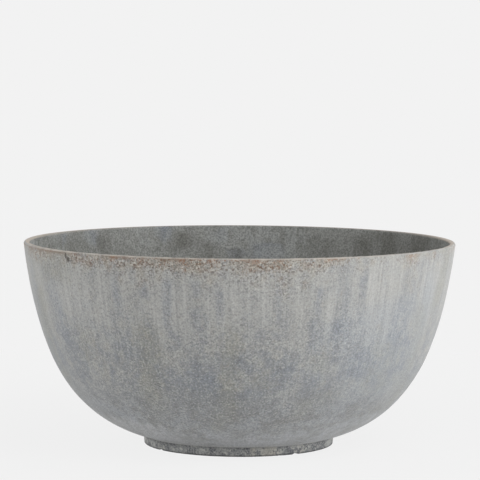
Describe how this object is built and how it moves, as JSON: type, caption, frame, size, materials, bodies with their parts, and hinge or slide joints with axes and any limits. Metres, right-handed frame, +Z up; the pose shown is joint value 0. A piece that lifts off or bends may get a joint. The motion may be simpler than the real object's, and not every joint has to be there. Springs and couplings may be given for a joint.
{
  "type": "bowl planter",
  "caption": "Wide round bowl planter with a thin sanded rim and a smoothly curved wall, standing on a low notched foot ring, with a drain plug that lifts out of its floor.",
  "frame": {"origin": "centre of the foot ring at ground level", "axes": "+Z up along the bowl's axis, -Y the side that faces the camera in the picture, +X to the right in the picture"},
  "size_m": [0.5999, 0.6, 0.283],
  "materials": {
    "outer_skin": "matt weathered grey stone composite",
    "fibre_lining": "matt mottled grey, glass fibre laminate with a stone-filled wash",
    "foot_ring": "matt dark grey, rough cast",
    "drain_bush": "moulded satin",
    "drain_plug": "moulded matt"
  },
  "bodies": {
    "bowl": {"outer_skin": "outer_skin", "fibre_lining": "fibre_lining", "foot_ring": "foot_ring", "drain_bush": "drain_bush"},
    "plug": {"drain_plug": "drain_plug"}
  },
  "joints": [
    {"name": "drain_plug_lift", "type": "slide", "parent": "bowl", "child": "plug", "axis": [0, 0, 1], "range_m": [0, 0.3]}
  ]
}
